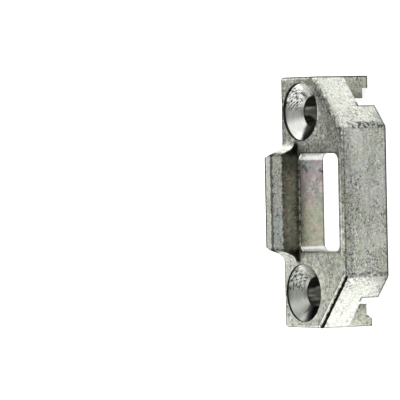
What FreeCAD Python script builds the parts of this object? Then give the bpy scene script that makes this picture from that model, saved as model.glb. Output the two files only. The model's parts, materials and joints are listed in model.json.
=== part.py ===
import FreeCAD, Part
import math
import os

# A die-cast door strike plate, sizes in millimetres.
# X runs along the plate and Y across it, from the skirt side to the lip side.
# Z runs up from the feet of the end ribs to the face that the latch meets.
# The origin is the middle of the outline, on the plane of the feet.

# Outline of the plate, seen from above
LENGTH = 36.1
WIDTH = 16.1
CHAMFER_LENGTH = 7.3        # how much each end chamfer takes off the long side
CHAMFER_WIDTH = 6.1         # how much it takes off the short side
CORNER_RADIUS = 1.0

# Plate
PLATE_THICKNESS = 4.3
FACE_EDGE_RADIUS = 0.5

# Bevel along the edge on the lip side
BEVEL_WIDTH = 1.45
BEVEL_DROP = 1.25

# Latch opening and the skirt that continues its outer wall downwards
OPENING_LENGTH = 14.0
OPENING_CORNER_RADIUS = 1.1
OPENING_EDGE_RADIUS = 0.2
SKIRT_WALL = 1.38
SKIRT_DEPTH = 7.8
SKIRT_FOOT_RADIUS = 0.25
SKIRT_TO_END = 4.3          # how far the deep skirt stops short of each end
RIB_PAST_SKIRT = 1.35       # how far the feet of the ribs stand past the skirt
CHAMFER_SKIRT_DEPTH = 4.8   # the shallow stretch from the deep skirt to the rib

# Screw holes
HOLE_DIAMETER = 4.5
HOLE_TO_END = 5.05
HOLE_TO_LIP_EDGE = 6.0
COUNTERSINK_DIAMETER = 8.4
COUNTERSINK_RIM = 0.3       # how deep it starts straight, before the cone
BOSS_DIAMETER = 8.2         # the thicker round under each hole
BOSS_DEPTH = 0.5

# Lip beside the opening. Its section is set out from the outer edge inwards
LIP_LENGTH = 13.6           # along the crest, where the sloping ends start
LIP_END_SLOPE = 22          # how far the ends lean back, in degrees
LIP_WIDTH = 5.27
LIP_CREST_HEIGHT = 2.68
LIP_CREST_FROM_EDGE = 2.1
LIP_CREST_WIDTH = 0.7
LIP_OUTER_DROP = 0.4        # from the crest down to the outer corner
LIP_SHOULDER_DROP = 0.38    # from the crest down to the inner corner
LIP_INNER_LEAN = 0.92       # how far the inner wall leans back to its corner
LIP_LEDGE = 0.25            # strip of face between the lip's foot and the opening
LIP_CREST_RADIUS = 1.5
LIP_OUTER_RADIUS = 0.35
LIP_SHOULDER_RADIUS = 0.25
LIP_FOOT_RADIUS = 1.4       # the hollow feet of the ends
LIP_END_RADIUS = 0.25

# Hollow underneath, between the skirt and the ribs
CORE_CORNER_RADIUS = 0.6
CORE_ROOT_RADIUS = 0.5

# Stepped ribs under both ends
RIB_THICKNESS = 3.25
RIB_STEP_WIDTH = 1.45       # the inner part of the rib, which stops short
RIB_STEP_RISE = 0.95
RIB_RAMP_WIDTH = 0.7        # the rib at one end has a sloped step
RIB_TO_LIP_EDGE = 1.2       # the ribs stop before the rounded corners

# How far a cutter runs past what it cuts, and how closely places are compared
CLEAR = 1.0
EXACT = 1e-4

# Places that follow from the sizes
SKIRT_FOOT_Z = RIB_PAST_SKIRT
FACE_Z = SKIRT_FOOT_Z + SKIRT_DEPTH
UNDERSIDE_Z = FACE_Z - PLATE_THICKNESS
END_X = LENGTH / 2
LIP_SIDE_Y = WIDTH / 2
SKIRT_SIDE_Y = -WIDTH / 2
RIB_SIDE_Y = SKIRT_SIDE_Y + CHAMFER_WIDTH
RIB_INNER_X = END_X - RIB_THICKNESS
HOLE_X = END_X - HOLE_TO_END
HOLE_Y = LIP_SIDE_Y - HOLE_TO_LIP_EDGE
SKIRT_END_X = END_X - SKIRT_TO_END
OPENING_NEAR_Y = SKIRT_SIDE_Y + SKIRT_WALL
LIP_FOOT_Y = LIP_SIDE_Y - LIP_WIDTH
OPENING_FAR_Y = LIP_FOOT_Y - LIP_LEDGE
BEVEL_Y = LIP_SIDE_Y - BEVEL_WIDTH


def prism(points, direction):
    """A solid made by moving a closed polygon along a direction."""
    wire = Part.makePolygon(points + points[:1])
    return Part.Face(wire).extrude(direction)


def box(low, high):
    """A block between two opposite corners."""
    size = high - low
    return Part.makeBox(size.x, size.y, size.z, low)


def round_upright_edges(solid, radius):
    """Rounds the edges that stand along Z."""
    upright = []
    for edge in solid.Edges:
        run = edge.Vertexes[-1].Point - edge.Vertexes[0].Point
        if abs(run.z) > 0.99 * run.Length:
            upright.append(edge)
    return solid.makeFillet(radius, upright)


def level_edges(solid, height):
    """The edges that lie level at one height."""
    chosen = []
    for edge in solid.Edges:
        bounds = edge.BoundBox
        if bounds.ZLength < EXACT and abs(bounds.ZMin - height) < EXACT:
            chosen.append(edge)
    return chosen


def outline(height, lip_side_y):
    """The plate's outline as a closed polygon, up to a line on the lip side."""
    corners = [
        FreeCAD.Vector(-END_X, lip_side_y, height),
        FreeCAD.Vector(-END_X, RIB_SIDE_Y, height),
        FreeCAD.Vector(-END_X + CHAMFER_LENGTH, SKIRT_SIDE_Y, height),
        FreeCAD.Vector(END_X - CHAMFER_LENGTH, SKIRT_SIDE_Y, height),
        FreeCAD.Vector(END_X, RIB_SIDE_Y, height),
        FreeCAD.Vector(END_X, lip_side_y, height),
    ]
    return Part.makePolygon(corners + corners[:1])


def blank():
    """The outline at its full height, bevelled, with rounded corners and upper edges."""
    body = Part.Face(outline(0, LIP_SIDE_Y)).extrude(FreeCAD.Vector(0, 0, FACE_Z))
    body = round_upright_edges(body, CORNER_RADIUS).cut(lip_side_bevel())
    lowest = FACE_Z - BEVEL_DROP - EXACT
    upper = [edge for edge in body.Edges if edge.BoundBox.ZMin > lowest]
    return body.makeFillet(FACE_EDGE_RADIUS, upper)


def lip_side_bevel():
    """The cutter for the bevel along the lip side."""
    slope = BEVEL_DROP / BEVEL_WIDTH
    start = -END_X - CLEAR
    high = FACE_Z + CLEAR * slope
    low = FACE_Z - BEVEL_DROP - CLEAR * slope
    corners = [
        FreeCAD.Vector(start, BEVEL_Y - CLEAR, high),
        FreeCAD.Vector(start, LIP_SIDE_Y + CLEAR, low),
        FreeCAD.Vector(start, LIP_SIDE_Y + CLEAR, high),
    ]
    return prism(corners, FreeCAD.Vector(LENGTH + 2 * CLEAR, 0, 0))


def core():
    """The cutter for the hollow underneath, open on the lip side."""
    past_edge = LIP_SIDE_Y + SKIRT_WALL + CLEAR
    floor = Part.Face(outline(-CLEAR, past_edge).makeOffset2D(-SKIRT_WALL, 2))
    hollow = floor.extrude(FreeCAD.Vector(0, 0, UNDERSIDE_Z + CLEAR))
    between_ribs = box(
        FreeCAD.Vector(-RIB_INNER_X, SKIRT_SIDE_Y, -CLEAR),
        FreeCAD.Vector(RIB_INNER_X, past_edge, UNDERSIDE_Z),
    )
    hollow = round_upright_edges(hollow.common(between_ribs), CORE_CORNER_RADIUS)
    return hollow.makeFillet(CORE_ROOT_RADIUS, level_edges(hollow, UNDERSIDE_Z))


def below_skirt():
    """The cutter that ends the deep skirt above the feet."""
    return box(
        FreeCAD.Vector(-RIB_INNER_X, SKIRT_SIDE_Y - CLEAR, -CLEAR),
        FreeCAD.Vector(RIB_INNER_X, LIP_SIDE_Y + CLEAR, SKIRT_FOOT_Z),
    )


def past_rib(end):
    """The cutter that stops the rib at one end short of the lip side."""
    low_x, high_x = sorted([end * (RIB_INNER_X - CLEAR), end * (END_X + CLEAR)])
    return box(
        FreeCAD.Vector(low_x, LIP_SIDE_Y - RIB_TO_LIP_EDGE, -CLEAR),
        FreeCAD.Vector(high_x, LIP_SIDE_Y + CLEAR, UNDERSIDE_Z),
    )


def beside_rib(end):
    """The cutter that leaves only a shallow skirt beside the rib at one end."""
    low_x, high_x = sorted([end * SKIRT_END_X, end * (END_X + CLEAR)])
    return box(
        FreeCAD.Vector(low_x, SKIRT_SIDE_Y - CLEAR, -CLEAR),
        FreeCAD.Vector(high_x, RIB_SIDE_Y, FACE_Z - CHAMFER_SKIRT_DEPTH),
    )


def rib_step(end, ramp):
    """The cutter for the step in the rib at one end. A ramp slopes the step."""
    start_y = SKIRT_SIDE_Y - CLEAR
    inner = end * (RIB_INNER_X - CLEAR)
    step = end * (RIB_INNER_X + RIB_STEP_WIDTH)
    profile = [
        FreeCAD.Vector(inner, start_y, -CLEAR),
        FreeCAD.Vector(inner, start_y, RIB_STEP_RISE),
        FreeCAD.Vector(step, start_y, RIB_STEP_RISE),
        FreeCAD.Vector(step + end * ramp, start_y, 0),
        FreeCAD.Vector(step + end * ramp, start_y, -CLEAR),
    ]
    return prism(profile, FreeCAD.Vector(0, WIDTH + 2 * CLEAR, 0))


def round_long_edges(solid, places):
    """Rounds the edges along X that start at the given points, each by its own radius."""
    for point, radius in places:
        for edge in solid.Edges:
            middle = edge.BoundBox.Center
            along_x = edge.BoundBox.YLength < EXACT and edge.BoundBox.ZLength < EXACT
            if along_x and math.hypot(middle.y - point.y, middle.z - point.z) < EXACT:
                solid = solid.makeFillet(radius, [edge])
                break
    return solid


def lip():
    """The raised lip, as its section run along X and trimmed by its sloping ends."""
    start = -lip_reach()
    crest_z = FACE_Z + LIP_CREST_HEIGHT
    outer = FreeCAD.Vector(start, LIP_SIDE_Y, crest_z - LIP_OUTER_DROP)
    crest_outer = FreeCAD.Vector(start, LIP_SIDE_Y - LIP_CREST_FROM_EDGE, crest_z)
    crest_inner = crest_outer - FreeCAD.Vector(0, LIP_CREST_WIDTH, 0)
    shoulder = FreeCAD.Vector(start, LIP_FOOT_Y + LIP_INNER_LEAN, crest_z - LIP_SHOULDER_DROP)
    foot = FreeCAD.Vector(start, LIP_FOOT_Y, FACE_Z)
    root_inner = FreeCAD.Vector(start, LIP_FOOT_Y, UNDERSIDE_Z)
    root_outer = FreeCAD.Vector(start, LIP_SIDE_Y, UNDERSIDE_Z)
    section = prism(
        [outer, crest_outer, crest_inner, shoulder, foot, root_inner, root_outer],
        FreeCAD.Vector(-2 * start, 0, 0),
    )
    section = round_long_edges(
        section,
        [
            (outer, LIP_OUTER_RADIUS),
            (crest_outer, LIP_CREST_RADIUS),
            (crest_inner, LIP_CREST_RADIUS),
            (shoulder, LIP_SHOULDER_RADIUS),
        ],
    )
    block = section.common(lip_ends())
    return block.makeFillet(LIP_END_RADIUS, lip_end_edges(block))


def lip_end_edges(block):
    """The edges where the lip's sloping ends meet its top and its two sides."""
    chosen = []
    for edge in block.Edges:
        middle = edge.valueAt((edge.FirstParameter + edge.LastParameter) / 2)
        along_x = []
        for face in block.ancestorsOfType(edge, Part.Face):
            normal = face.normalAt(*face.Surface.parameter(middle))
            along_x.append(abs(normal.x))
        if min(along_x) < EXACT < max(along_x) and edge.BoundBox.XLength > EXACT:
            chosen.append(edge)
    return chosen


def lip_foot_length():
    """How far a hollow foot of the lip runs along the face, and as far up its end."""
    turn = math.radians(90 - LIP_END_SLOPE)
    return LIP_FOOT_RADIUS * math.tan(turn / 2)


def lip_reach():
    """From the middle of the lip to the tip of one foot."""
    lean = LIP_CREST_HEIGHT * math.tan(math.radians(LIP_END_SLOPE))
    return LIP_LENGTH / 2 + lean + lip_foot_length()


def lip_profile(y, low, high):
    """The lip's long profile at one Y, as a face: sloping ends with hollow feet."""
    slope = math.radians(LIP_END_SLOPE)
    reach = lip_reach()
    neck_x = reach - lip_foot_length() * (1 + math.sin(slope))
    neck_z = FACE_Z + lip_foot_length() * math.cos(slope)
    top_x = neck_x - (high - neck_z) * math.tan(slope)
    half_turn = (math.pi / 2 - slope) / 2
    middle_x = reach - LIP_FOOT_RADIUS * math.sin(half_turn)
    middle_z = FACE_Z + LIP_FOOT_RADIUS * (1 - math.cos(half_turn))
    corners = {}
    edges = []
    for end in (-1, 1):
        tip = FreeCAD.Vector(end * reach, y, FACE_Z)
        middle = FreeCAD.Vector(end * middle_x, y, middle_z)
        neck = FreeCAD.Vector(end * neck_x, y, neck_z)
        top = FreeCAD.Vector(end * top_x, y, high)
        bottom = FreeCAD.Vector(end * reach, y, low)
        edges.append(Part.Arc(tip, middle, neck).toShape())
        edges.append(Part.LineSegment(neck, top).toShape())
        edges.append(Part.LineSegment(bottom, tip).toShape())
        corners[end] = (bottom, top)
    edges.append(Part.LineSegment(corners[-1][0], corners[1][0]).toShape())
    edges.append(Part.LineSegment(corners[-1][1], corners[1][1]).toShape())
    return Part.Face(Part.Wire(Part.__sortEdges__(edges)))


def lip_ends():
    """The long profile run across: level over the face, sloping down over the bevel."""
    low = UNDERSIDE_Z - BEVEL_DROP
    high = FACE_Z + LIP_CREST_HEIGHT + BEVEL_DROP + CLEAR
    level = lip_profile(OPENING_FAR_Y, low, high)
    level = level.extrude(FreeCAD.Vector(0, BEVEL_Y - OPENING_FAR_Y, 0))
    sloped = lip_profile(BEVEL_Y, low, high)
    sloped = sloped.extrude(FreeCAD.Vector(0, BEVEL_WIDTH, -BEVEL_DROP))
    return level.fuse(sloped)


def latch_opening():
    """The cutter for the opening, with rounded corners."""
    cutter = box(
        FreeCAD.Vector(-OPENING_LENGTH / 2, OPENING_NEAR_Y, -CLEAR),
        FreeCAD.Vector(OPENING_LENGTH / 2, OPENING_FAR_Y, FACE_Z + CLEAR),
    )
    return round_upright_edges(cutter, OPENING_CORNER_RADIUS)


def opening_rim(body):
    """The edges round the opening where it meets the face."""
    chosen = []
    for edge in level_edges(body, FACE_Z):
        bounds = edge.BoundBox
        along = max(abs(bounds.XMin), abs(bounds.XMax)) < OPENING_LENGTH / 2 + EXACT
        across = bounds.YMin > OPENING_NEAR_Y - EXACT and bounds.YMax < OPENING_FAR_Y + EXACT
        if along and across:
            chosen.append(edge)
    return chosen


def screw_hole(x):
    """The cutter for one countersunk hole."""
    centre = FreeCAD.Vector(x, HOLE_Y, 0)
    shank = Part.makeCylinder(HOLE_DIAMETER / 2, FACE_Z + CLEAR, centre)
    cone_depth = (COUNTERSINK_DIAMETER - HOLE_DIAMETER) / 2
    rim_foot = centre + FreeCAD.Vector(0, 0, FACE_Z - COUNTERSINK_RIM)
    cone_foot = rim_foot - FreeCAD.Vector(0, 0, cone_depth)
    cone = Part.makeCone(HOLE_DIAMETER / 2, COUNTERSINK_DIAMETER / 2, cone_depth, cone_foot)
    rim = Part.makeCylinder(COUNTERSINK_DIAMETER / 2, COUNTERSINK_RIM + CLEAR, rim_foot)
    return shank.fuse([cone, rim])


def boss(x):
    """The thicker round under one screw hole, sunk into the plate."""
    foot = FreeCAD.Vector(x, HOLE_Y, UNDERSIDE_Z - BOSS_DEPTH)
    return Part.makeCylinder(BOSS_DIAMETER / 2, BOSS_DEPTH + CLEAR, foot)


def strike_plate():
    """The whole casting."""
    body = blank().cut([core(), below_skirt()])
    body = body.cut([beside_rib(1), beside_rib(-1), past_rib(1), past_rib(-1)])
    body = body.cut([rib_step(1, 0), rib_step(-1, RIB_RAMP_WIDTH)])
    body = body.makeFillet(SKIRT_FOOT_RADIUS, level_edges(body, SKIRT_FOOT_Z))
    body = body.fuse([lip(), boss(-HOLE_X), boss(HOLE_X)]).cut(latch_opening())
    body = body.makeFillet(OPENING_EDGE_RADIUS, opening_rim(body))
    body = body.cut([screw_hole(-HOLE_X), screw_hole(HOLE_X)])
    return body.removeSplitter()


os.makedirs("parts", exist_ok=True)
casting = strike_plate()
casting.exportStep("parts/strike_plate.step")
print("solids", len(casting.Solids), "valid", casting.isValid(), "volume", round(casting.Volume, 1))
print("box", casting.BoundBox)
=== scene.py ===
import json
import math
from types import SimpleNamespace

import bmesh
import bpy
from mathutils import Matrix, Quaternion, Vector


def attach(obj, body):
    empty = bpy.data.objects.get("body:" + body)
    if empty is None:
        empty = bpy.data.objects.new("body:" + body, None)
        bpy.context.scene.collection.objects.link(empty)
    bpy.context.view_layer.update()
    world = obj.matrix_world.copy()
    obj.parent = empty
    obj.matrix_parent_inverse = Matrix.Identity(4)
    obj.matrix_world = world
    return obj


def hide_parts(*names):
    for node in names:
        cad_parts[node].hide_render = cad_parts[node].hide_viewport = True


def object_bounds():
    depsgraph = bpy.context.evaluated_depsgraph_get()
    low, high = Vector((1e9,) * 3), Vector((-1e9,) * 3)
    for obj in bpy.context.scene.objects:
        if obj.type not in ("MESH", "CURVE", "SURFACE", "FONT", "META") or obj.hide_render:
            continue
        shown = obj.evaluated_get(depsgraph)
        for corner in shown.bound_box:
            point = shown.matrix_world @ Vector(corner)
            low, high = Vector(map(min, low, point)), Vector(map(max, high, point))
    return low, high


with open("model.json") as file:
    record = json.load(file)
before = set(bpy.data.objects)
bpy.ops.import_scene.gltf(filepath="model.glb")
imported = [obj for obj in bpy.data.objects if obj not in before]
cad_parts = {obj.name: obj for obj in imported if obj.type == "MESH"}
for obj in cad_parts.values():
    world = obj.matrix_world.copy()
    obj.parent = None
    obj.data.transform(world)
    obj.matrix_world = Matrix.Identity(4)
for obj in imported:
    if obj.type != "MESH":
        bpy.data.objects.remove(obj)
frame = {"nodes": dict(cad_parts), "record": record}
cad_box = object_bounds()

# The plate lies along X with its raised lip towards +Y, its face looks up, and the
# feet of its ribs stand on Z = 0. Blender's own lengths are in metres. The places
# on the casting, and all that the finishes measure, are in millimetres.
MM = 0.001

# The outline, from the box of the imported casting
low_corner, high_corner = (Vector(corner) / MM for corner in cad_box)
END_X = high_corner.x
LIP_SIDE_Y = high_corner.y
SKIRT_Y = low_corner.y

# The screw holes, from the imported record
screw_holes = next(mount for mount in frame["record"]["mounts"] if mount["name"] == "screw_holes")
HOLE_X = screw_holes["dims"]["spacing_x_mm"] / 2
HOLE_Y = screw_holes["pos_m"][1] / MM
HOLE_RADIUS = screw_holes["dims"]["hole_r_mm"]

# The other places on the casting that the finishes follow
FACE_Z = 9.15
UNDERSIDE_Z = 4.85
SKIRT_FOOT_Z = 1.35
SKIRT_END_X = END_X - 4.3
CHAMFER_LENGTH = 7.3
CHAMFER_WIDTH = 6.1
CHAMFER_FOOT_Z = 4.35
CHAMFER_START_X = END_X - CHAMFER_LENGTH
CHAMFER_SLOPE = math.atan2(CHAMFER_WIDTH, CHAMFER_LENGTH)
RIB_INNER_X = END_X - 3.25
COUNTERSINK_RADIUS = 4.2
COUNTERSINK_RIM_Z = FACE_Z - 0.3
CONE_FOOT_Z = COUNTERSINK_RIM_Z - (COUNTERSINK_RADIUS - HOLE_RADIUS)
OPENING_HALF_LENGTH = 7.0
OPENING_NEAR_Y = SKIRT_Y + 1.38
OPENING_FAR_Y = 2.53
LIP_HALF_LENGTH = 6.8
LIP_FOOT_Y = 2.78
LIP_SHOULDER_Y = 3.7
LIP_CREST_Y = 5.95
BEVEL_Y = LIP_SIDE_Y - 1.45

# Edges that the die left sharp are worn to a small round
EDGE_ROUND = 0.07
SHARP_ANGLE = math.radians(28)
FLAT_ANGLE = math.radians(0.2)
SAME_PLACE = 0.001
HAIR = 0.02

# The order of the three finishes on the casting
CAST, TURNED, OPENING = range(3)

# The greys of the cast skin
SKIN_OLIVE = (0.485, 0.51, 0.425, 1)
SKIN_PALE = (0.56, 0.565, 0.525, 1)
SKIN_ROSE = (0.54, 0.528, 0.485, 1)
SKIN_BLUE = (0.49, 0.513, 0.49, 1)
FACE_GREEN = (0.52, 0.535, 0.45, 1)
LIP_TOP_BLUE = (0.455, 0.50, 0.475, 1)
LIP_WALL_OLIVE = (0.46, 0.48, 0.34, 1)
LIP_WALL_BROWN = (0.52, 0.46, 0.345, 1)
CHAMFER_GREY = (0.53, 0.54, 0.49, 1)
RIB_GREEN = (0.49, 0.52, 0.40, 1)

# The turned metal: the cones towards -X and +X, and the bores
CONE_PALE = (0.64, 0.66, 0.6, 1)
CONE_GREY = (0.575, 0.575, 0.55, 1)
BORE_OLIVE = (0.66, 0.67, 0.56, 1)

# The passivation in the opening
PASSIVE_YELLOW = (0.51, 0.48, 0.38, 1)
PASSIVE_GREEN = (0.47, 0.50, 0.37, 1)
PASSIVE_MAUVE = (0.46, 0.41, 0.42, 1)
PASSIVE_SLATE = (0.40, 0.43, 0.41, 1)
PASSIVE_ROSE = (0.58, 0.50, 0.46, 1)
# A painted highlight: the white of the opening's corners
CORNER_HIGHLIGHT = (1.0, 0.99, 0.93, 1)

# The camera looks along the plate's width, turned on its side
IMAGE_SIZE = 400
MM_PER_PIXEL = 0.1435
LENS = 400.0
SENSOR = 36.0
VIEW_ELEVATION = math.radians(36)
VIEW_AZIMUTH = math.radians(1.1)
VIEW_ROLL = math.radians(-91.8)
AIM_POINT = Vector((0, HOLE_Y, FACE_Z)) * MM
AIM_PIXEL = (301.9, 202.5)
CLIP_START = 0.01
CLIP_END = 10.0

# The floor, where 1 shows white paper as white. It shines in the metal more brightly
# beyond both ends of the plate, and less in a strip under each hole.
FLOOR_HALF_SIZE = 2.0
FLOOR_GREY = 0.8
FLOOR_WHITE = 0.85
FLOOR_SHINE = 0.92
FLOOR_SHINE_LOW_END = 1.4
FLOOR_SHINE_HIGH_END = 0.95
FLOOR_SHINE_START = 12.0
FLOOR_SHINE_FULL = 24.0
FLOOR_UNDER_HOLES = 0.3

# The lamp overhead
LAMP_PLACE = (0.0, -0.05, 0.45)
LAMP_SIZE = 0.25
LAMP_POWER = 0.3

# The surround: its level, and for each side its direction, where its light starts as a
# cosine from that direction, and its strength
SURROUND = 0.72
SURROUND_LEAST = 0.02
SURROUND_SIDES = (
    ((0, -1.0, 0.12), 0.5, -0.6),
    ((0, 1.0, 0.0), 0.6, 0.15),
    ((0.6, 0.8, 0.0), 0.7, 2.2),
    ((-0.6, 0.8, 0.0), 0.7, 1.0),
    ((1.0, 0, 0.45), 0.55, 0.8),
    ((-1.0, 0, 0.45), 0.55, 0.6),
)


def add_node(tree, kind, inputs=None, **settings):
    """Adds a shader node. Each input is a plain value or another node's output."""
    node = tree.nodes.new(kind)
    for name, value in settings.items():
        setattr(node, name, value)
    for name, value in (inputs or {}).items():
        if isinstance(value, bpy.types.NodeSocket):
            tree.links.new(value, node.inputs[name])
        else:
            node.inputs[name].default_value = value
    return node


def maths(tree, operation, first, second=0.0):
    """One step of arithmetic on two values."""
    return add_node(tree, "ShaderNodeMath", {0: first, 1: second}, operation=operation).outputs[0]


def multiply(tree, *values):
    """The product of several values."""
    product = values[0]
    for value in values[1:]:
        product = maths(tree, "MULTIPLY", product, value)
    return product


def largest(tree, *values):
    """The largest of several values."""
    most = values[0]
    for value in values[1:]:
        most = maths(tree, "MAXIMUM", most, value)
    return most


def opposite(tree, value):
    """1 where a value is 0, and 0 where it is 1."""
    return maths(tree, "SUBTRACT", 1.0, value)


def parts_of(tree, place):
    """The X, Y and Z of a place."""
    node = add_node(tree, "ShaderNodeSeparateXYZ", {0: place})
    return node.outputs["X"], node.outputs["Y"], node.outputs["Z"]


def stretch(tree, place, x, y, z):
    """The same place, scaled along each axis."""
    return add_node(tree, "ShaderNodeMapping", {"Vector": place, "Scale": (x, y, z)}).outputs["Vector"]


def place_in_mm(tree):
    """The place on the object itself, in millimetres."""
    coordinates = add_node(tree, "ShaderNodeTexCoord").outputs["Object"]
    return stretch(tree, coordinates, 1 / MM, 1 / MM, 1 / MM)


def noise(tree, place, scale, detail, roughness=0.5, distortion=0.0):
    """Cloudy noise from 0 to 1. The scale is in waves a millimetre."""
    inputs = {
        "Vector": place,
        "Scale": scale,
        "Detail": detail,
        "Roughness": roughness,
        "Distortion": distortion,
    }
    return add_node(tree, "ShaderNodeTexNoise", inputs).outputs["Fac"]


def ramp(tree, value, low, high, to_low=0.0, to_high=1.0):
    """Carries a value from one range to another, smoothly, and holds it there."""
    inputs = {"Value": value, "From Min": low, "From Max": high, "To Min": to_low, "To Max": to_high}
    node = add_node(tree, "ShaderNodeMapRange", inputs, interpolation_type="SMOOTHSTEP")
    return node.outputs["Result"]


def by_end(tree, x, at_low_end, at_high_end):
    """One value on the half of the plate towards -X, and another on the half towards +X."""
    return ramp(tree, x, -1.0, 1.0, at_low_end, at_high_end)


def band(tree, value, low, high, soft):
    """1 where a value lies between two limits, fading out over a soft edge."""
    rise = ramp(tree, value, low - soft, low)
    fall = ramp(tree, value, high, high + soft, 1.0, 0.0)
    return multiply(tree, rise, fall)


def wander(tree, value, cloud, reach):
    """Moves a value to and fro with a cloud of noise, so that an edge at it runs ragged."""
    return maths(tree, "ADD", value, multiply(tree, maths(tree, "SUBTRACT", cloud, 0.5), reach))


def mark(tree, level, factor, *masks):
    """Multiplies a level by a factor where every mask is 1, and leaves it where one is 0."""
    change = multiply(tree, maths(tree, "SUBTRACT", factor, 1.0), *masks)
    return multiply(tree, level, maths(tree, "ADD", change, 1.0))


def tint(tree, factor, first, second, blend="MIX"):
    """Mixes two colours by a factor."""
    node = tree.nodes.new("ShaderNodeMix")
    node.data_type = "RGBA"
    node.blend_type = blend
    for socket, value in zip((node.inputs[0], node.inputs[6], node.inputs[7]), (factor, first, second)):
        if isinstance(value, bpy.types.NodeSocket):
            tree.links.new(value, socket)
        else:
            socket.default_value = value
    return node.outputs[2]


def shade(tree, colour, level):
    """Makes a colour darker or lighter by a level."""
    whole = add_node(tree, "ShaderNodeCombineColor", {0: level, 1: level, 2: level}).outputs[0]
    return tint(tree, 1.0, colour, whole, "MULTIPLY")


def mix_shaders(tree, factor, first, second):
    """Shows the first shader where a factor is 0, and the second where it is 1."""
    return add_node(tree, "ShaderNodeMixShader", {0: factor, 1: first.outputs[0], 2: second.outputs[0]})


def seen_directly(tree):
    """1 for a ray from the camera, also through something clear, and 0 for any other."""
    path = add_node(tree, "ShaderNodeLightPath")
    return maths(tree, "MAXIMUM", path.outputs["Is Camera Ray"], path.outputs["Is Transmission Ray"])


def grey(level):
    """A plain grey of one level."""
    return (level, level, level, 1.0)


def new_material(name):
    """An empty metal material, with its tree, its shader and the place in millimetres."""
    material = bpy.data.materials.new(name)
    material.use_nodes = True
    tree = material.node_tree
    shader = tree.nodes["Principled BSDF"]
    shader.inputs["Metallic"].default_value = 1.0
    return material, tree, shader, place_in_mm(tree)


def bump(tree, shader, height, distance):
    """Gives the shader the relief of a height field. The distance is in millimetres."""
    node = add_node(tree, "ShaderNodeBump", {"Height": height, "Distance": distance * MM, "Strength": 1.0})
    tree.links.new(node.outputs["Normal"], shader.inputs["Normal"])


def past_chamfer(tree, away, y):
    """How far a place lies outside the line of the end chamfer."""
    along = maths(tree, "SUBTRACT", away, CHAMFER_START_X)
    inwards = maths(tree, "SUBTRACT", y, SKIRT_Y)
    outwards = multiply(tree, along, math.sin(CHAMFER_SLOPE))
    return maths(tree, "SUBTRACT", outwards, multiply(tree, inwards, math.cos(CHAMFER_SLOPE)))


def survey(tree, place):
    """Where a point of the skin lies, which parts of the casting it is on, and shared noise."""
    x, y, z = parts_of(tree, place)
    away = maths(tree, "ABSOLUTE", x)
    outside = past_chamfer(tree, away, y)
    on_face = band(tree, z, FACE_Z - 0.05, FACE_Z + 0.1, 0.15)
    near_skirt = ramp(tree, y, SKIRT_Y + 0.75, SKIRT_Y + 0.15)
    past_corner = ramp(tree, away, CHAMFER_START_X + 0.45, CHAMFER_START_X + 0.85)
    inside_shoulder = ramp(tree, y, LIP_SHOULDER_Y + 0.05, LIP_SHOULDER_Y - 0.15)
    at_rib = ramp(tree, away, RIB_INNER_X - 0.2, RIB_INNER_X)
    return SimpleNamespace(
        place=place,
        x=x,
        y=y,
        z=z,
        away=away,
        outside=outside,
        on_face=on_face,
        dark_face=multiply(tree, on_face, ramp(tree, x, 4.0, 7.0, 0.0, 0.85)),
        on_skirt=multiply(tree, near_skirt, ramp(tree, z, FACE_Z - 0.15, FACE_Z - 0.55)),
        on_chamfer=multiply(tree, past_corner, ramp(tree, outside, -0.3, -0.1)),
        on_rib=multiply(tree, at_rib, ramp(tree, z, UNDERSIDE_Z - 0.35, UNDERSIDE_Z - 0.55)),
        inner_wall=multiply(tree, inside_shoulder, ramp(tree, z, FACE_Z - 0.03, FACE_Z + 0.1)),
        cluster=noise(tree, place, 0.55, 3.0, 0.65),
        wobble=noise(tree, place, 1.6, 3.0, 0.65),
        blot=ramp(tree, noise(tree, place, 1.9, 3.0, 0.7), 0.45, 0.55),
    )


def skin_colour(tree, spot):
    """The clouded grey of the cast skin, which differs a little from part to part."""
    cloud = noise(tree, spot.place, 0.3, 3.0)
    patch = noise(tree, spot.place, 0.6, 1.5)
    colour = tint(tree, ramp(tree, cloud, 0.38, 0.62), SKIN_OLIVE, SKIN_PALE)
    colour = tint(tree, ramp(tree, patch, 0.54, 0.72), colour, SKIN_ROSE)
    colour = tint(tree, ramp(tree, patch, 0.46, 0.28), colour, SKIN_BLUE)
    colour = tint(tree, ramp(tree, spot.z, FACE_Z - 0.25, FACE_Z - 0.1, 0.0, 0.4), colour, FACE_GREEN)

    lip_top = multiply(
        tree,
        ramp(tree, spot.z, FACE_Z + 1.75, FACE_Z + 2.05),
        band(tree, spot.y, LIP_SHOULDER_Y + 0.2, LIP_SHOULDER_Y + 1.7, 0.2),
        ramp(tree, spot.x, 1.0, -2.0),
    )
    colour = tint(tree, multiply(tree, lip_top, 0.6), colour, LIP_TOP_BLUE)
    stained = tint(tree, ramp(tree, patch, 0.4, 0.6), LIP_WALL_OLIVE, LIP_WALL_BROWN)
    colour = tint(tree, multiply(tree, spot.inner_wall, 0.85), colour, stained)
    colour = tint(tree, multiply(tree, spot.on_chamfer, 0.75), colour, CHAMFER_GREY)
    return tint(tree, multiply(tree, spot.on_rib, 0.7), colour, RIB_GREEN)


def calm_of(tree, spot):
    """How calm the grain is: on the chamfers, the inner wall of the lip and part of the skirt."""
    skirt_stretch = multiply(tree, spot.on_skirt, band(tree, spot.x, 6.0, 9.5, 2.0))
    return largest(
        tree,
        multiply(tree, spot.on_chamfer, 0.2),
        multiply(tree, spot.inner_wall, 0.15),
        multiply(tree, skirt_stretch, 0.25),
    )


def grain_level(tree, spot, grain, calm):
    """The grain itself, strong in some places and soft in others."""
    speck = noise(tree, spot.place, 6.5, 2.0, 0.6)
    strength = multiply(tree, ramp(tree, spot.cluster, 0.38, 0.62, 0.5, 1.3), opposite(tree, calm))
    level = mark(tree, 1.0, ramp(tree, grain, 0.30, 0.72, 0.58, 1.3), strength)
    return mark(tree, level, ramp(tree, speck, 0.3, 0.7, 0.72, 1.22), strength)


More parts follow.
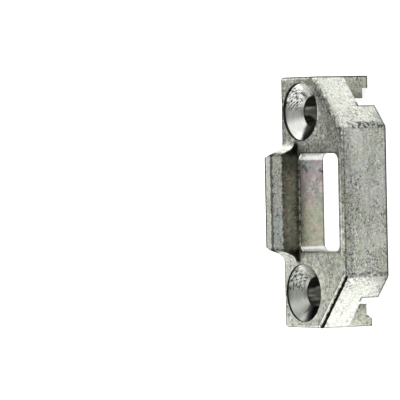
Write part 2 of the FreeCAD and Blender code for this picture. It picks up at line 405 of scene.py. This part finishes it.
def mark_pits(tree, spot, level, calm):
    """Dark pits: clusters all over, and crowds below the face, on the lip's ends and on the dark face."""
    pit = ramp(tree, noise(tree, spot.place, 2.5, 3.0, 0.75), 0.535, 0.60)
    below_face = multiply(
        tree,
        ramp(tree, spot.z, FACE_Z - 2.75, FACE_Z - 1.25),
        ramp(tree, spot.z, FACE_Z - 0.05, FACE_Z - 0.25),
        ramp(tree, spot.y, SKIRT_Y + 0.75, SKIRT_Y + 0.45),
    )
    lip_end = multiply(
        tree,
        band(tree, spot.away, LIP_HALF_LENGTH - 0.3, LIP_HALF_LENGTH + 0.3, 0.2),
        ramp(tree, spot.z, FACE_Z + 1.65, FACE_Z + 1.95),
    )
    crowd = largest(tree, ramp(tree, spot.cluster, 0.44, 0.62), below_face, lip_end, spot.dark_face)
    return mark(tree, level, 0.3, pit, crowd, opposite(tree, multiply(tree, calm, 1.4)))


def mark_corners(tree, spot, level):
    """A row of blots down each corner between skirt and chamfer, black at one end of the plate."""
    near_skirt = ramp(tree, spot.y, SKIRT_Y + 0.85, SKIRT_Y + 0.55)
    by_high_end = multiply(
        tree,
        band(tree, spot.x, CHAMFER_START_X - 0.15, CHAMFER_START_X + 0.55, 0.25),
        ramp(tree, spot.z, FACE_Z - 0.55, FACE_Z - 1.75),
    )
    by_low_end = multiply(
        tree,
        band(tree, spot.x, 0.1 - CHAMFER_START_X, 0.65 - CHAMFER_START_X, 0.2),
        ramp(tree, spot.z, FACE_Z - 0.25, FACE_Z - 0.55),
    )
    level = mark(tree, level, 0.2, spot.blot, near_skirt, by_high_end)
    return mark(tree, level, 0.45, spot.blot, near_skirt, by_low_end)


def mark_skirt(tree, spot, level):
    """Streaks along the skirt, a slow change along it, painted shade along its foot and a dark strip at
    its top.
    """
    streak = noise(tree, stretch(tree, spot.place, 0.12, 1.0, 1.0), 2.4, 3.0, 0.6)
    level = mark(tree, level, ramp(tree, streak, 0.3, 0.7, 0.84, 1.1), spot.on_skirt)
    level = mark(tree, level, ramp(tree, spot.away, 2.0, 6.0, 1.0, 1.1), spot.on_skirt)
    level = mark(tree, level, ramp(tree, spot.x, -6.0, 5.0, 1.01, 0.95), spot.on_skirt)
    # Painted shade along the skirt's foot, next to the floor in shadow under the plate.
    foot = ramp(tree, spot.z, SKIRT_FOOT_Z + 0.48, SKIRT_FOOT_Z + 0.25)
    level = mark(tree, level, 0.12, spot.on_skirt, foot)
    strip = multiply(
        tree,
        ramp(tree, spot.y, SKIRT_Y + 0.65, SKIRT_Y + 0.45),
        ramp(tree, spot.z, FACE_Z - 1.75, FACE_Z - 1.05),
        ramp(tree, spot.away, CHAMFER_START_X + 0.25, CHAMFER_START_X - 0.15),
    )
    return mark(tree, level, ramp(tree, spot.wobble, 0.35, 0.65, 0.62, 0.92), strip)


def mark_chamfers(tree, spot, level):
    """The chamfers, with painted light towards their feet and painted shade as a dark outline where the
    deep skirt ends on them.
    """
    foot = multiply(
        tree,
        ramp(tree, spot.away, SKIRT_END_X + 0.05, SKIRT_END_X - 0.05),
        ramp(tree, spot.z, SKIRT_FOOT_Z + 0.5, SKIRT_FOOT_Z + 0.2),
    )
    skirt_end = multiply(
        tree,
        band(tree, spot.away, SKIRT_END_X - 0.1, SKIRT_END_X + 0.45, 0.12),
        ramp(tree, spot.z, CHAMFER_FOOT_Z + 0.45, CHAMFER_FOOT_Z + 0.25),
    )
    # Painted light towards the feet of the chamfers.
    level = mark(tree, level, ramp(tree, spot.z, 7.0, 2.5, 0.95, 1.34), spot.on_chamfer)
    # Painted shade: a dark outline at the chamfer's foot and where the deep skirt ends.
    return mark(tree, level, 0.3, spot.on_chamfer, largest(tree, foot, skirt_end))


def mark_ends(tree, spot, level):
    """Painted shade along the edges of both ends, darker ribs, and painted shade at the feet of the ribs
    by the floor.
    """
    edge = ramp(tree, spot.away, END_X - 0.31, END_X - 0.15)
    # Painted shade along the edges of both ends.
    level = mark(tree, level, by_end(tree, spot.x, 0.4, 0.18), edge)
    level = mark(tree, level, by_end(tree, spot.x, 0.88, 0.68), spot.on_rib)
    # Painted shade at the feet of the ribs, where they stand on the floor.
    return mark(tree, level, 0.35, spot.on_rib, ramp(tree, spot.z, 0.3, 0.15))


def mark_face(tree, spot, level):
    """The mottled face, with painted shade towards +X that lifts again at its +X end, and a painted dark
    outline over its bevel.
    """
    # Painted shade: the face grows darker towards +X and lighter again at its +X end, by how the light
    # falls.
    level = mark(tree, level, ramp(tree, spot.x, -7.0, 7.0, 1.09, 0.58), spot.on_face)
    level = mark(tree, level, ramp(tree, spot.x, 15.5, 17.5, 1.0, 1.25), spot.on_face)
    level = mark(tree, level, ramp(tree, spot.wobble, 0.3, 0.7, 0.72, 1.27), spot.on_face)
    level = mark(tree, level, 1.35, spot.dark_face, ramp(tree, spot.wobble, 0.5, 0.65))
    # Painted shade: a dark outline along the edge over the bevel.
    edge = multiply(
        tree,
        band(tree, spot.y, BEVEL_Y - 0.15, BEVEL_Y + 0.3, 0.2),
        ramp(tree, spot.z, FACE_Z + 0.25, FACE_Z + 0.05),
        ramp(tree, spot.away, LIP_HALF_LENGTH + 1.6, LIP_HALF_LENGTH + 2.0),
    )
    return mark(tree, level, 0.3, edge)


def mark_countersink(tree, spot, level):
    """A painted highlight on the near rim of one countersink."""
    middle = (HOLE_X, HOLE_Y, FACE_Z)
    apart = add_node(tree, "ShaderNodeVectorMath", {0: spot.place, 1: middle}, operation="DISTANCE")
    countersink_highlight = multiply(
        tree,
        band(tree, apart.outputs["Value"], COUNTERSINK_RADIUS, COUNTERSINK_RADIUS + 0.22, 0.05),
        band(tree, spot.x, HOLE_X - 0.8, HOLE_X + 1.4, 0.5),
        ramp(tree, spot.y, 0.0, -1.0),
    )
    return mark(tree, level, 2.2, countersink_highlight)


def mark_rim(tree, spot, level):
    """A line of painted shade and a painted highlight along the near rim of the opening, and its dark
    ends.
    """
    beside = multiply(
        tree,
        ramp(tree, spot.away, OPENING_HALF_LENGTH + 0.5, OPENING_HALF_LENGTH + 0.1),
        ramp(tree, spot.z, FACE_Z - 0.2, FACE_Z - 0.1),
    )
    painted_rim_shade = band(tree, spot.y, OPENING_NEAR_Y - 0.43, OPENING_NEAR_Y + 0.07, 0.08)
    painted_rim_highlight = band(tree, spot.y, OPENING_NEAR_Y - 0.78, OPENING_NEAR_Y - 0.55, 0.06)
    end = multiply(
        tree,
        band(tree, spot.away, OPENING_HALF_LENGTH - 0.1, OPENING_HALF_LENGTH + 0.22, 0.08),
        band(tree, spot.y, OPENING_NEAR_Y - 0.13, OPENING_FAR_Y - 0.03, 0.2),
        ramp(tree, spot.z, FACE_Z - 0.25, FACE_Z - 0.15),
    )
    # Painted shade and a painted highlight along the rounded near rim.
    level = mark(tree, level, 0.62, beside, painted_rim_shade)
    level = mark(tree, level, 1.5, beside, painted_rim_highlight)
    return mark(tree, level, 0.5, end)


def mark_lip(tree, spot, level):
    """The lip's top: a dark band along the crest, darker flanks, painted shade along its edges all round,
    and painted light and shade on its end slopes.
    """
    on_top = ramp(tree, spot.z, FACE_Z + 1.45, FACE_Z + 1.85)
    ragged_y = wander(tree, spot.y, spot.wobble, 0.9)
    level = mark(tree, level, 0.2, on_top, band(tree, ragged_y, LIP_CREST_Y - 0.5, LIP_CREST_Y, 0.2))
    level = mark(tree, level, 0.72, on_top, ramp(tree, spot.y, LIP_CREST_Y - 0.45, LIP_CREST_Y - 0.75))
    level = mark(tree, level, 0.75, on_top, ramp(tree, spot.y, LIP_CREST_Y + 0.05, LIP_CREST_Y + 0.35))

    # Painted shade along the inner, outer and end edges of the lip's top.
    inner_edge = band(tree, spot.y, LIP_SHOULDER_Y - 0.08, LIP_SHOULDER_Y + 0.1, 0.06)
    level = mark(tree, level, ramp(tree, spot.wobble, 0.4, 0.6, 0.4, 1.0), on_top, inner_edge)
    outer_edge = multiply(
        tree,
        band(tree, spot.y, LIP_SIDE_Y - 0.5, LIP_SIDE_Y - 0.12, 0.2),
        ramp(tree, spot.z, FACE_Z + 1.15, FACE_Z + 1.55),
    )
    level = mark(tree, level, 0.15, outer_edge)
    end_edge = multiply(
        tree,
        band(tree, spot.away, LIP_HALF_LENGTH - 0.08, LIP_HALF_LENGTH + 0.4, 0.12),
        ramp(tree, spot.z, FACE_Z + 1.8, FACE_Z + 2.05),
    )
    level = mark(tree, level, 0.35, end_edge)
    # Painted light on the lip's end slope towards +X, and painted shade on the one towards -X.
    foot = multiply(
        tree,
        ramp(tree, spot.away, LIP_HALF_LENGTH + 0.3, LIP_HALF_LENGTH + 0.5),
        ramp(tree, spot.z, FACE_Z + 0.05, FACE_Z + 0.25),
        ramp(tree, spot.y, LIP_SHOULDER_Y + 0.1, LIP_SHOULDER_Y + 0.5),
    )
    return mark(tree, level, by_end(tree, spot.x, 0.76, 1.25), foot)


def mark_inner_wall(tree, spot, level):
    """The inner wall of the lip, darkened by painted shade that is darkest at its ends, and painted shade
    in the crease below it.
    """
    wall = spot.inner_wall
    # The inner wall's brown stain is its colour; here it is darkened further as painted shade.
    level = mark(tree, level, ramp(tree, spot.wobble, 0.3, 0.7, 0.5, 0.8), wall)
    level = mark(tree, level, ramp(tree, spot.x, 3.0, 6.0, 1.0, 0.36), wall)
    level = mark(tree, level, ramp(tree, spot.x, -4.0, -6.8, 1.0, 0.66), wall)
    end = ramp(tree, spot.away, LIP_HALF_LENGTH - 0.6, LIP_HALF_LENGTH + 0.2)
    level = mark(tree, level, 0.15, wall, end, ramp(tree, spot.z, FACE_Z + 2.25, FACE_Z + 1.25))

    # Painted shade in the crease at the foot of the lip.
    widening = ramp(tree, spot.away, LIP_HALF_LENGTH - 0.2, LIP_HALF_LENGTH + 1.2, 0.0, 0.4)
    from_foot = maths(tree, "SUBTRACT", spot.y, widening)
    crease = multiply(
        tree,
        band(tree, from_foot, LIP_FOOT_Y - 0.48, LIP_FOOT_Y + 0.07, 0.15),
        ramp(tree, spot.away, LIP_HALF_LENGTH + 2.3, LIP_HALF_LENGTH + 1.8),
        ramp(tree, spot.z, FACE_Z - 0.3, FACE_Z - 0.22),
    )
    return mark(tree, level, ramp(tree, spot.wobble, 0.38, 0.62, 0.2, 0.62), crease)


def mark_ragged_edge(tree, spot, level):
    """The chamfer towards +X starts with a ragged painted highlight along its edge and dark blots beside
    it.
    """
    on_face = multiply(tree, by_end(tree, spot.x, 0.0, 1.0), spot.on_face)
    ragged = wander(tree, spot.outside, spot.wobble, 2.4)
    # Painted highlight along the rounded edge of the chamfer towards +X.
    level = mark(tree, level, 1.5, on_face, ramp(tree, ragged, -1.2, -0.2))
    blotted = ramp(tree, spot.blot, 0.0, 1.0, 0.9, 0.5)
    return mark(tree, level, blotted, on_face, band(tree, ragged, -1.5, -0.8, 0.3))


def mark_sharp_edge(tree, spot, level):
    """The chamfer towards -X starts with a black line of painted reflection, a painted highlight and a
    faint line of painted shade.
    """
    low_end = by_end(tree, spot.x, 1.0, 0.0)
    below_face = band(tree, wander(tree, spot.z, spot.wobble, 0.3), FACE_Z - 0.45, FACE_Z - 0.09, 0.04)
    # A painted dark reflection along the rounded edge of the chamfer towards -X.
    level = mark(tree, level, 0.03, low_end, below_face, ramp(tree, spot.outside, -0.35, -0.2))
    edge_highlight_line = multiply(
        tree,
        band(tree, spot.outside, -0.56, -0.42, 0.05),
        ramp(tree, spot.z, FACE_Z - 0.15, FACE_Z - 0.05),
        ramp(tree, spot.blot, 0.0, 1.0, 1.0, 0.6),
    )
    level = mark(tree, level, 2.4, low_end, edge_highlight_line)
    # A faint line of painted shade beside the painted highlight.
    return mark(tree, level, 0.75, low_end, spot.on_face, band(tree, spot.outside, -0.8, -0.66, 0.05))


def skin_level(tree, spot, grain):
    """How light the cast skin is, from its grain and from its marks and wear."""
    calm = calm_of(tree, spot)
    level = grain_level(tree, spot, grain, calm)
    level = mark_pits(tree, spot, level, calm)
    for mark_part in (
        mark_corners,
        mark_skirt,
        mark_chamfers,
        mark_ends,
        mark_face,
        mark_countersink,
        mark_rim,
        mark_lip,
        mark_inner_wall,
        mark_ragged_edge,
        mark_sharp_edge,
    ):
        level = mark_part(tree, spot, level)
    return level


def cast_skin():
    """The grey, grainy skin that the die leaves on zinc."""
    material, tree, shader, place = new_material("cast_zinc_skin")
    spot = survey(tree, place)
    grain = noise(tree, place, 3.0, 3.0, 0.75)
    level = skin_level(tree, spot, grain)
    tree.links.new(shade(tree, skin_colour(tree, spot), level), shader.inputs["Base Color"])
    tree.links.new(ramp(tree, level, 0.05, 0.3), shader.inputs["Metallic"])
    shader.inputs["Specular IOR Level"].default_value = 0.0
    tree.links.new(ramp(tree, grain, 0.3, 0.7, 0.46, 0.32), shader.inputs["Roughness"])
    bump(tree, shader, grain, 0.07)
    return material


def hole_survey(tree, place):
    """Where a turned point lies round the axis of its hole. Its turn runs from +Y towards +X."""
    x, y, z = parts_of(tree, place)
    side = maths(tree, "SIGN", x)
    along = maths(tree, "SUBTRACT", x, multiply(tree, side, HOLE_X))
    across = maths(tree, "SUBTRACT", y, HOLE_Y)
    from_axis = add_node(tree, "ShaderNodeCombineXYZ", {0: along, 1: across}).outputs[0]
    length = add_node(tree, "ShaderNodeVectorMath", {0: from_axis}, operation="LENGTH")
    return SimpleNamespace(
        place=place,
        x=x,
        z=z,
        side=side,
        along=along,
        radius=length.outputs["Value"],
        turn=maths(tree, "ARCTAN2", along, across),
        high_hole=by_end(tree, x, 0.0, 1.0),
        low_hole=by_end(tree, x, 1.0, 0.0),
        in_bore=ramp(tree, z, CONE_FOOT_Z + 0.05, CONE_FOOT_Z - 0.05),
    )


def tool_noise(tree, spot, rings, spokes, slant, detail):
    """Noise that follows the tool: waves a millimetre outwards and a radian round."""
    outwards = maths(tree, "ADD", multiply(tree, spot.radius, rings), multiply(tree, spot.turn, slant))
    inputs = {0: outwards, 1: multiply(tree, spot.turn, spokes), 2: multiply(tree, spot.side, 3.0)}
    return noise(tree, add_node(tree, "ShaderNodeCombineXYZ", inputs).outputs[0], 1.0, detail, 0.6)


def cone_level(tree, spot):
    """Tool rings all round, chatter on one quarter, and painted reflections: darker and brighter sectors,
    a bright patch and a wedge of painted shade.
    """
    turn = spot.turn
    rings = tool_noise(tree, spot, rings=7.0, spokes=1.6, slant=0.0, detail=3.0)
    bites = tool_noise(tree, spot, rings=7.0, spokes=5.0, slant=4.0, detail=2.0)
    chatter = ramp(tree, bites, 0.40, 0.58, 0.14, 1.3)
    chattered = multiply(
        tree,
        band(tree, turn, 0.2, 1.05, 0.2),
        ramp(tree, spot.radius, HOLE_RADIUS + 0.1, HOLE_RADIUS + 0.45),
    )
    level = ramp(tree, rings, 0.3, 0.7, 0.91, 1.08)
    level = mark(tree, level, chatter, chattered)
    level = mark(tree, level, 0.88, spot.low_hole, chattered)
    # Painted reflections: darker and brighter sectors round each cone.
    level = mark(tree, level, 0.91, spot.high_hole, band(tree, turn, -0.3, 0.15, 0.2))
    level = mark(tree, level, 1.25, ramp(tree, turn, 1.1, 1.4))
    level = mark(tree, level, 1.4, spot.high_hole, band(tree, turn, 1.45, 1.9, 0.25))
    level = mark(tree, level, ramp(tree, turn, -0.2, -1.1, 0.7, 0.33), spot.low_hole)

    # A wedge of painted shade on each cone, fading out round the back.
    fading = ramp(tree, turn, -2.5, -2.0)
    slanted = maths(tree, "ADD", turn, multiply(tree, spot.radius, 0.3))
    shaded_wedge = multiply(tree, spot.high_hole, ramp(tree, slanted, -0.08, -0.38), fading)
    level = mark(tree, level, ramp(tree, turn, -1.1, -1.6, 0.14, 0.02), shaded_wedge)
    shaded_wedge = multiply(tree, spot.low_hole, ramp(tree, slanted, -0.05, -0.5), fading)
    return mark(tree, level, ramp(tree, slanted, -0.3, -0.7, 0.2, 0.02), shaded_wedge)


def bore_level(tree, spot):
    """The bore, darkened by painted shade: dark towards +X and grey in the middle, with a painted
    highlight in a crescent towards -X.
    """
    streak = noise(tree, stretch(tree, spot.place, 2.5, 2.5, 0.3), 1.0, 3.0)
    # Painted shade inside the bore.
    level = ramp(tree, spot.along, 0.95, 0.5, 0.06, 0.48)
    level = multiply(tree, level, ramp(tree, spot.along, -0.3, -0.8, 1.0, 0.5))
    level = multiply(tree, level, ramp(tree, streak, 0.3, 0.7, 0.6, 1.4))
    level = mark(tree, level, 0.7, spot.high_hole)
    # Painted highlight: a bright crescent in the bore towards -X.
    return mark(tree, level, 3.2, ramp(tree, spot.along, -1.75, -1.9))


def turned_level(tree, spot):
    """How light the turned metal is: the cone, the bore and a painted dark reflection on the straight rim.
    """
    level = mark(tree, cone_level(tree, spot), bore_level(tree, spot), spot.in_bore)
    # Painted reflection: the straight rim of each countersink is made almost black.
    up_rim = maths(tree, "SUBTRACT", spot.z, by_end(tree, spot.x, 0.08, 0.0))
    rim_wall = ramp(tree, up_rim, COUNTERSINK_RIM_Z - 0.16, COUNTERSINK_RIM_Z - 0.06)
    return mark(tree, level, 0.06, rim_wall)


def machined_zinc():
    """Bright metal turned by the countersinking tool, over a drilled bore darkened by painted shade."""
    material, tree, shader, place = new_material("turned_zinc")
    spot = hole_survey(tree, place)
    colour = tint(tree, spot.high_hole, CONE_PALE, CONE_GREY)
    colour = tint(tree, spot.in_bore, colour, BORE_OLIVE)
    level = turned_level(tree, spot)
    tree.links.new(shade(tree, colour, level), shader.inputs["Base Color"])
    tree.links.new(ramp(tree, level, 0.04, 0.2), shader.inputs["Metallic"])
    shader.inputs["Specular IOR Level"].default_value = 0.0
    shader.inputs["Roughness"].default_value = 0.24
    return material


def passivation(tree, place, x, patch):
    """The colours in the opening: yellow and green towards -X, mauve and slate towards +X."""
    drawn_out = stretch(tree, place, 1.0, 1.0, 0.7)
    cloud = ramp(tree, noise(tree, drawn_out, 0.42, 3.0, 0.55, 0.6), 0.42, 0.58)
    low_half = tint(tree, cloud, PASSIVE_YELLOW, PASSIVE_GREEN)
    high_half = tint(tree, cloud, PASSIVE_MAUVE, PASSIVE_SLATE)
    colour = tint(tree, ramp(tree, x, -1.5, 2.5), low_half, high_half)
    rose = multiply(tree, band(tree, x, 0.2, 3.0, 1.5), ramp(tree, patch, 0.42, 0.6))
    return tint(tree, rose, colour, PASSIVE_ROSE)


def opening_wall():
    """The smooth drafted walls of the latch opening, with a faint passivation, a painted highlight at its
    corners and painted shade along its bottom edge.
    """
    material, tree, shader, place = new_material("passivated_opening")
    x, y, z = parts_of(tree, place)
    patch = noise(tree, place, 0.9, 3.0, 0.65)
    grain = noise(tree, place, 3.0, 3.0, 0.7)
    stain = noise(tree, place, 0.95, 3.0, 0.7)
    fleck = noise(tree, place, 1.8, 3.0, 0.7)

    # Painted highlight: the corners at both ends are whitened on the lip side
    corners = largest(tree, ramp(tree, x, 5.95, 6.2), ramp(tree, x, -6.25, -6.5))
    corners = multiply(tree, corners, ramp(tree, y, 0.8, 1.4))
    colour = tint(tree, corners, passivation(tree, place, x, patch), CORNER_HIGHLIGHT)

    level = ramp(tree, grain, 0.3, 0.7, 0.81, 1.1)
    level = multiply(tree, level, ramp(tree, patch, 0.3, 0.7, 0.82, 1.15))
    level = mark(tree, level, 0.35, ramp(tree, stain, 0.56, 0.66), ramp(tree, x, -0.5, 3.0))
    near_top = ramp(tree, wander(tree, z, fleck, 4.5), FACE_Z - 0.55, FACE_Z - 0.15)
    level = mark(tree, level, ramp(tree, x, -1.5, 1.0, 0.5, 0.8), near_top)
    # Painted highlight on the corners
    level = mark(tree, level, 1.25, corners)
    # Painted shade along the bottom edge of the opening's walls.
    level = mark(tree, level, 0.42, ramp(tree, z, UNDERSIDE_Z + 0.35, UNDERSIDE_Z + 0.15))
    tree.links.new(shade(tree, colour, level), shader.inputs["Base Color"])
    shader.inputs["Roughness"].default_value = 0.3
    bump(tree, shader, grain, 0.03)
    return material


def finish_of(centre):
    """Which finish a face takes, by its middle."""
    x, y, z = centre / MM
    from_hole = math.hypot(abs(x) - HOLE_X, y - HOLE_Y)
    in_countersink = from_hole < COUNTERSINK_RADIUS + HAIR and UNDERSIDE_Z < z < FACE_Z - HAIR
    if from_hole < HOLE_RADIUS + HAIR or in_countersink:
        return TURNED
    in_length = abs(x) < OPENING_HALF_LENGTH + HAIR
    in_width = OPENING_NEAR_Y - HAIR < y < OPENING_FAR_Y + HAIR
    if in_length and in_width and z < FACE_Z - HAIR:
        return OPENING
    return CAST


def dressed_casting():
    """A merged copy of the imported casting, with worn edges and its three finishes."""
    source = frame["nodes"]["strike_plate"]
    mesh = bpy.data.meshes.new("strike_plate_casting")
    shape = bmesh.new()
    shape.from_mesh(source.data)
    bmesh.ops.remove_doubles(shape, verts=shape.verts, dist=SAME_PLACE * MM)
    bmesh.ops.dissolve_limit(shape, angle_limit=FLAT_ANGLE, verts=shape.verts, edges=shape.edges)
    bmesh.ops.bevel(
        shape,
        geom=[edge for edge in shape.edges if edge.calc_face_angle(0) > SHARP_ANGLE],
        offset=EDGE_ROUND * MM,
        offset_type="OFFSET",
        affect="EDGES",
        segments=2,
        profile=0.5,
        material=-1,
        clamp_overlap=True,
    )
    for face in shape.faces:
        face.smooth = True
        face.material_index = finish_of(face.calc_center_median())
    shape.to_mesh(mesh)
    shape.free()
    casting = bpy.data.objects.new("strike_plate_casting", mesh)
    bpy.context.scene.collection.objects.link(casting)
    for material in (cast_skin(), machined_zinc(), opening_wall()):
        mesh.materials.append(material)
    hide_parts("strike_plate")
    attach(casting, "root")


def place_camera():
    """Sets the camera so that the aim point falls on its pixel, seen at the set angle."""
    data = bpy.data.cameras.new("camera")
    data.lens = LENS
    data.sensor_width = SENSOR
    data.clip_start = CLIP_START
    data.clip_end = CLIP_END
    camera = bpy.data.objects.new("camera", data)
    bpy.context.scene.collection.objects.link(camera)
    focal_pixels = LENS / SENSOR * IMAGE_SIZE
    right = (AIM_PIXEL[0] - IMAGE_SIZE / 2) / focal_pixels
    up = (IMAGE_SIZE / 2 - AIM_PIXEL[1]) / focal_pixels
    ray = Vector((right, up, -1))
    flat = math.cos(VIEW_ELEVATION)
    towards_camera = Vector(
        (flat * math.sin(VIEW_AZIMUTH), -flat * math.cos(VIEW_AZIMUTH), math.sin(VIEW_ELEVATION))
    )
    straight = (-towards_camera).to_track_quat("-Z", "Y") @ Quaternion((0, 0, 1), VIEW_ROLL)
    camera.rotation_mode = "QUATERNION"
    camera.rotation_quaternion = straight @ ray.rotation_difference(Vector((0, 0, -1)))
    distance = MM_PER_PIXEL * MM * focal_pixels * ray.length
    camera.location = AIM_POINT + towards_camera * distance
    bpy.context.scene.camera = camera


def floor_shine(tree):
    """How brightly the floor shines in the metal, by its place."""
    x, y = parts_of(tree, place_in_mm(tree))[:2]
    low_end = ramp(tree, x, -FLOOR_SHINE_START, -FLOOR_SHINE_FULL, 0.0, FLOOR_SHINE_LOW_END)
    high_end = ramp(tree, x, FLOOR_SHINE_START, FLOOR_SHINE_FULL, 0.0, FLOOR_SHINE_HIGH_END)
    both_ends = maths(tree, "ADD", low_end, high_end)
    under_holes = multiply(
        tree,
        band(tree, maths(tree, "ABSOLUTE", x), HOLE_X - 2.2, HOLE_X + 1.6, 0.3),
        band(tree, y, -7.0, 7.0, 1.0),
    )
    return mark(tree, maths(tree, "ADD", both_ends, FLOOR_SHINE), FLOOR_UNDER_HOLES, under_holes)


def floor_material():
    """A pale floor that the camera sees as white, with the plate's shadow on it."""
    material = bpy.data.materials.new("pale_floor")
    material.use_nodes = True
    tree = material.node_tree
    tree.nodes.remove(tree.nodes["Principled BSDF"])
    diffuse = add_node(tree, "ShaderNodeBsdfDiffuse", {"Color": grey(FLOOR_GREY)})
    shine = add_node(tree, "ShaderNodeEmission", {"Color": grey(1.0), "Strength": floor_shine(tree)})
    white = add_node(tree, "ShaderNodeEmission", {"Color": grey(1.0), "Strength": FLOOR_WHITE})
    in_metal = add_node(tree, "ShaderNodeLightPath").outputs["Is Glossy Ray"]
    mirrored = mix_shaders(tree, in_metal, diffuse, shine)
    lit = add_node(tree, "ShaderNodeAddShader", {0: diffuse.outputs[0], 1: white.outputs[0]})
    surface = mix_shaders(tree, seen_directly(tree), mirrored, lit)
    tree.links.new(surface.outputs[0], tree.nodes["Material Output"].inputs["Surface"])
    return material


def lay_floor():
    """The floor that the feet of the ribs stand on."""
    shape = bmesh.new()
    bmesh.ops.create_grid(shape, x_segments=1, y_segments=1, size=FLOOR_HALF_SIZE)
    mesh = bpy.data.meshes.new("floor")
    shape.to_mesh(mesh)
    shape.free()
    mesh.materials.append(floor_material())
    floor = bpy.data.objects.new("floor", mesh)
    bpy.context.scene.collection.objects.link(floor)


def hang_lamp():
    """A square soft box overhead, aimed at the middle of the plate."""
    data = bpy.data.lights.new("top_lamp", "AREA")
    data.shape = "SQUARE"
    data.size = LAMP_SIZE
    data.energy = LAMP_POWER
    lamp = bpy.data.objects.new("top_lamp", data)
    bpy.context.scene.collection.objects.link(lamp)
    lamp.location = LAMP_PLACE
    lamp.rotation_mode = "QUATERNION"
    aim = Vector((0, 0, FACE_Z * MM)) - lamp.location
    lamp.rotation_quaternion = aim.to_track_quat("-Z", "Y")


def glow(tree, direction, towards, start, strength):
    """Light from one side of the surround, which grows towards the middle of the side."""
    inputs = {0: direction, 1: Vector(towards).normalized()}
    nearness = add_node(tree, "ShaderNodeVectorMath", inputs, operation="DOT_PRODUCT").outputs["Value"]
    return ramp(tree, nearness, start, 1.0, 0.0, strength)


def light_world():
    """A soft surround: pale at the sides, darker at the front, white to the camera."""
    world = bpy.data.worlds.new("studio")
    bpy.context.scene.world = world
    world.use_nodes = True
    tree = world.node_tree
    tree.nodes.clear()
    direction = add_node(tree, "ShaderNodeTexCoord").outputs["Generated"]
    level = SURROUND
    for towards, start, strength in SURROUND_SIDES:
        level = maths(tree, "ADD", glow(tree, direction, towards, start, strength), level)
    level = maths(tree, "MAXIMUM", level, SURROUND_LEAST)
    studio = add_node(tree, "ShaderNodeBackground", {"Color": grey(1.0), "Strength": level})
    white = add_node(tree, "ShaderNodeBackground", {"Color": grey(1.0), "Strength": 1.0})
    surface = mix_shaders(tree, seen_directly(tree), studio, white)
    output = add_node(tree, "ShaderNodeOutputWorld")
    tree.links.new(surface.outputs[0], output.inputs["Surface"])


def main():
    """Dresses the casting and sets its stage."""
    place_camera()
    dressed_casting()
    lay_floor()
    light_world()
    hang_lamp()
    bpy.context.scene.view_settings.view_transform = "Standard"


main()
